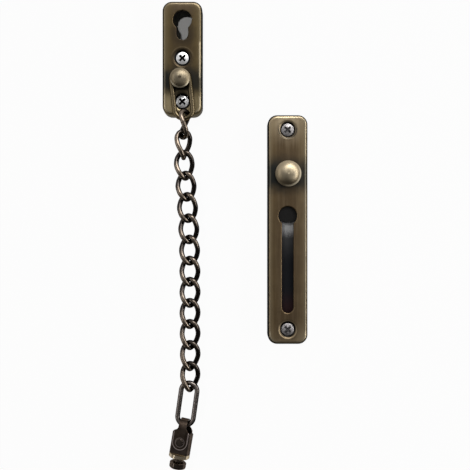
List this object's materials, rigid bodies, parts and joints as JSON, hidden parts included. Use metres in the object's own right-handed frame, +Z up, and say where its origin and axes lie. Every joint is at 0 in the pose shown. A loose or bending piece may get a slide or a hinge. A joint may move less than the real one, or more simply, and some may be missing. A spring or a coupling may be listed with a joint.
{
  "type": "door chain",
  "caption": "Door chain with a stamped frame plate, a curb chain ending in a headed bolt, and a door plate with a keyhole slot and a spring release knob.",
  "frame": {"origin": "on the wall, halfway between the frame plate's two screws", "axes": "+Z up, +X to the right, the fronts face -Y; the plates' back rims lie in the plane y = 0"},
  "size_m": [0.0815, 0.0363, 0.2606],
  "materials": {
    "antique_brass": "antique brass, vertically brushed, darkened and lacquered",
    "brass_button": "antique brass, smooth satin",
    "chain_bronze": "dark antique bronze plating, glossy",
    "dark_bronze": "dark antique bronze plating, satin",
    "bright_screw": "bright zinc plating",
    "grey_screw": "dull grey zinc plating",
    "blackened_steel": "black oxide, rubbed bare at its top",
    "spring_steel": "blued spring steel",
    "black_pad": "black moulded plastic"
  },
  "bodies": {
    "plates": {"frame_plate": "antique_brass", "chain_stud": "brass_button", "frame_screw_upper": "bright_screw", "frame_screw_lower": "bright_screw", "door_plate": "antique_brass", "floor_plate": "blackened_steel", "leaf_spring": "spring_steel", "door_screw_upper": "grey_screw", "door_screw_lower": "grey_screw"},
    "anchor_loop": {"anchor_loop": "chain_bronze"},
    "chain_link_01": {"chain_link_01": "chain_bronze"},
    "chain_link_02": {"chain_link_02": "chain_bronze"},
    "chain_link_03": {"chain_link_03": "chain_bronze"},
    "chain_link_04": {"chain_link_04": "chain_bronze"},
    "chain_link_05": {"chain_link_05": "chain_bronze"},
    "chain_link_06": {"chain_link_06": "chain_bronze"},
    "chain_link_07": {"chain_link_07": "chain_bronze"},
    "chain_link_08": {"chain_link_08": "chain_bronze"},
    "chain_link_09": {"chain_link_09": "chain_bronze"},
    "chain_link_10": {"chain_link_10": "chain_bronze"},
    "chain_link_11": {"chain_link_11": "chain_bronze"},
    "chain_link_12": {"chain_link_12": "chain_bronze"},
    "chain_link_13": {"chain_link_13": "chain_bronze"},
    "end_link": {"end_link": "chain_bronze"},
    "strap": {"end_strap": "dark_bronze", "strap_pin": "dark_bronze"},
    "bolt": {"end_bolt": "dark_bronze"},
    "release": {"release_knob": "brass_button", "stop_pad": "black_pad"}
  },
  "joints": [
    {"name": "anchor_swing", "type": "hinge", "parent": "plates", "child": "anchor_loop", "pos_m": [-0.001, -0.0116, 0], "axis": [0, 1, 0], "range_deg": [-12, 80]},
    {"name": "chain_link_01_bend", "type": "hinge", "parent": "anchor_loop", "child": "chain_link_01", "pos_m": [0.00171, -0.01397, -0.02241], "axis": [0.9928, 0, 0.1201], "range_deg": [-35, 5]},
    {"name": "chain_link_02_bend", "type": "hinge", "parent": "chain_link_01", "child": "chain_link_02", "pos_m": [0.00095, -0.01397, -0.03299], "axis": [-0.7061, 0.7071, 0.037], "range_deg": [-12, 6]},
    {"name": "chain_link_03_bend", "type": "hinge", "parent": "chain_link_02", "child": "chain_link_03", "pos_m": [0.00108, -0.01397, -0.04114], "axis": [0.8893, -0.454, 0.0544], "range_deg": [-27, 8]},
    {"name": "chain_link_04_bend", "type": "hinge", "parent": "chain_link_03", "child": "chain_link_04", "pos_m": [0.00197, -0.01397, -0.05571], "axis": [0.4531, 0.891, 0.0277], "range_deg": [-35, 35]},
    {"name": "chain_link_05_bend", "type": "hinge", "parent": "chain_link_04", "child": "chain_link_05", "pos_m": [0.00286, -0.01397, -0.06454], "axis": [-0.7061, 0.7071, -0.037], "range_deg": [-35, 35]},
    {"name": "chain_link_06_bend", "type": "hinge", "parent": "chain_link_05", "child": "chain_link_06", "pos_m": [0.00362, -0.01397, -0.07912], "axis": [-0.7061, -0.7071, -0.037], "range_deg": [-28, 26]},
    {"name": "chain_link_07_bend", "type": "hinge", "parent": "chain_link_06", "child": "chain_link_07", "pos_m": [0.00426, -0.01397, -0.0881], "axis": [0.707, -0.7071, 0.0123], "range_deg": [-26, 28]},
    {"name": "chain_link_08_bend", "type": "hinge", "parent": "chain_link_07", "child": "chain_link_08", "pos_m": [0.00451, -0.01397, -0.1027], "axis": [0.707, 0.7071, 0.0123], "range_deg": [-20, 20]},
    {"name": "chain_link_09_bend", "type": "hinge", "parent": "chain_link_08", "child": "chain_link_09", "pos_m": [0.00464, -0.01397, -0.1115], "axis": [-0.7771, 0.6293, 0], "range_deg": [-16, 16]},
    {"name": "chain_link_10_bend", "type": "hinge", "parent": "chain_link_09", "child": "chain_link_10", "pos_m": [0.00464, -0.01397, -0.1261], "axis": [-0.6293, -0.7771, 0], "range_deg": [-15, 15]},
    {"name": "chain_link_11_bend", "type": "hinge", "parent": "chain_link_10", "child": "chain_link_11", "pos_m": [0.00464, -0.01397, -0.13485], "axis": [0.866, -0.5, 0.0076], "range_deg": [-14, 14]},
    {"name": "chain_link_12_bend", "type": "hinge", "parent": "chain_link_11", "child": "chain_link_12", "pos_m": [0.00477, -0.01397, -0.14945], "axis": [0.5, 0.866, 0.0044], "range_deg": [-15, 14]},
    {"name": "chain_link_13_bend", "type": "hinge", "parent": "chain_link_12", "child": "chain_link_13", "pos_m": [0.00477, -0.01397, -0.1581], "axis": [-0.9336, 0.3584, 0], "range_deg": [-14, 14]},
    {"name": "end_link_bend", "type": "hinge", "parent": "chain_link_13", "child": "end_link", "pos_m": [0.00477, -0.01397, -0.1727], "axis": [-0.3584, -0.9336, 0], "range_deg": [-35, 35]},
    {"name": "strap_swing", "type": "hinge", "parent": "end_link", "child": "strap", "pos_m": [0.00153, -0.01397, -0.19207], "axis": [0.9752, -0.1736, -0.1371], "range_deg": [-80, 80]},
    {"name": "bolt_swing", "type": "hinge", "parent": "strap", "child": "bolt", "pos_m": [0.00007, -0.01397, -0.20075], "axis": [-0.1713, -0.9848, 0.0287], "range_deg": [-35, 35]},
    {"name": "release_press", "type": "hinge", "parent": "plates", "child": "release", "pos_m": [0.0591, -0.00665, -0.035], "axis": [1, 0, 0], "range_deg": [0, 7], "stiffness_Nm_per_rad": 0.7, "springref_deg": -1.72, "deforming": ["leaf_spring"]}
  ]
}
